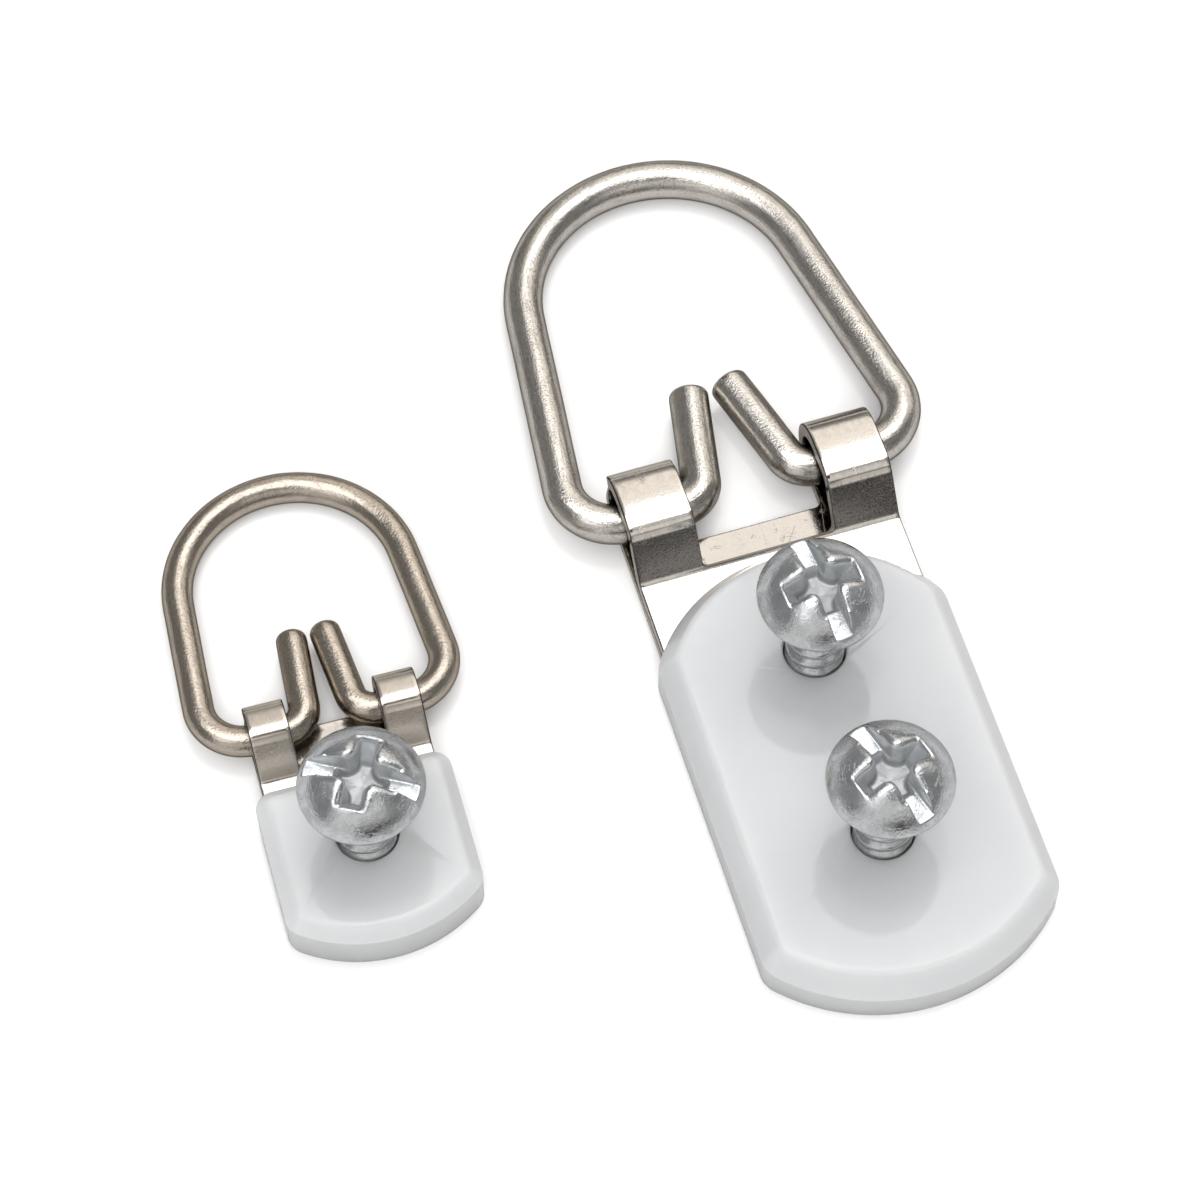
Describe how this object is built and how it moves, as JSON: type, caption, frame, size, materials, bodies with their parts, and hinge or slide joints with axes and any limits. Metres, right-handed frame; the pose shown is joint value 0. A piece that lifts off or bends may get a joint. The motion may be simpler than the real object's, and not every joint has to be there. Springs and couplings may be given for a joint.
{
  "type": "d ring picture hanger",
  "caption": "Set of large and small D-ring picture hangers: folded steel straps in bevelled plastic covers, wire D rings that swing in the strap loops, and round-head mounting screws.",
  "frame": {"origin": "on the back face of the large hanger's strap, midway between its two screw holes", "axes": "+Y runs along the large hanger towards its ring, +Z comes out of the front faces, +X is to the right seen from the front"},
  "size_m": [0.0516, 0.0631, 0.0137],
  "materials": {
    "nickel_strap": "bright nickel plated sheet steel, fine grain on the bends",
    "nickel_wire": "satin nickel plated drawn wire with small pits",
    "zinc_screw": "mottled zinc plating",
    "milky_cover": "milky white moulded plastic, glossy"
  },
  "bodies": {
    "large_plate": {"large_strap": "nickel_strap", "large_cover": "milky_cover"},
    "large_ring": {"large_ring": "nickel_wire"},
    "large_upper_screw": {"large_upper_screw": "zinc_screw"},
    "large_lower_screw": {"large_lower_screw": "zinc_screw"},
    "small_plate": {"small_strap": "nickel_strap", "small_cover": "milky_cover"},
    "small_ring": {"small_ring": "nickel_wire"},
    "small_screw": {"small_screw": "zinc_screw"}
  },
  "joints": [
    {"name": "large_ring_swing", "type": "hinge", "parent": "large_plate", "child": "large_ring", "pos_m": [0.00015, 0.01965, 0.0025], "axis": [0.9994, 0.0349, 0], "range_deg": [0, 150]},
    {"name": "large_upper_screw_drive", "type": "slide", "parent": "large_plate", "child": "large_upper_screw", "axis": [0, 0, 1], "range_m": [-0.0068, 0]},
    {"name": "large_lower_screw_drive", "type": "slide", "parent": "large_plate", "child": "large_lower_screw", "axis": [0, 0, 1], "range_m": [-0.0068, 0]},
    {"name": "small_hanger_lift", "type": "slide", "parent": "large_plate", "child": "small_plate", "axis": [0, 0, 1], "range_m": [0, 0.03]},
    {"name": "small_ring_swing", "type": "hinge", "parent": "small_plate", "child": "small_ring", "pos_m": [-0.02994, 0.01175, 0.00195], "axis": [0.9999, -0.0157, 0], "range_deg": [0, 130]},
    {"name": "small_screw_drive", "type": "slide", "parent": "small_plate", "child": "small_screw", "axis": [0, 0, 1], "range_m": [-0.0062, 0]}
  ]
}
